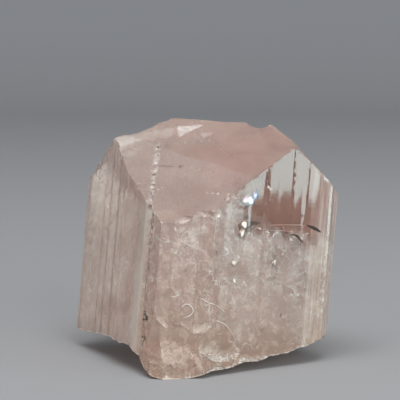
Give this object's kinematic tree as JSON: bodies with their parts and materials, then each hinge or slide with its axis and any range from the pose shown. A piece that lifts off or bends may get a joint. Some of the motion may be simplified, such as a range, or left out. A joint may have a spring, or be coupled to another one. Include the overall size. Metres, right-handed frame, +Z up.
{
  "type": "danburite crystal",
  "caption": "Loose blocky danburite crystal, clear to milky pink, with striated prism faces, a sloping roof-shaped top and a broken base that it stands on.",
  "frame": {"origin": "middle of the crystal's box, at the flat broken facet that it stands on", "axes": "+X to the right across the front, +Y from the viewer to the back, +Z up; the crystal's long axis leans 7 degrees back and 5 degrees right of +Z"},
  "size_m": [0.0608, 0.0498, 0.0544],
  "materials": {
    "danburite": "clear to slightly milky natural crystal, smooth top face, striated sides, frosted broken base"
  },
  "bodies": {
    "root": {"crystal": "danburite"}
  },
  "joints": []
}
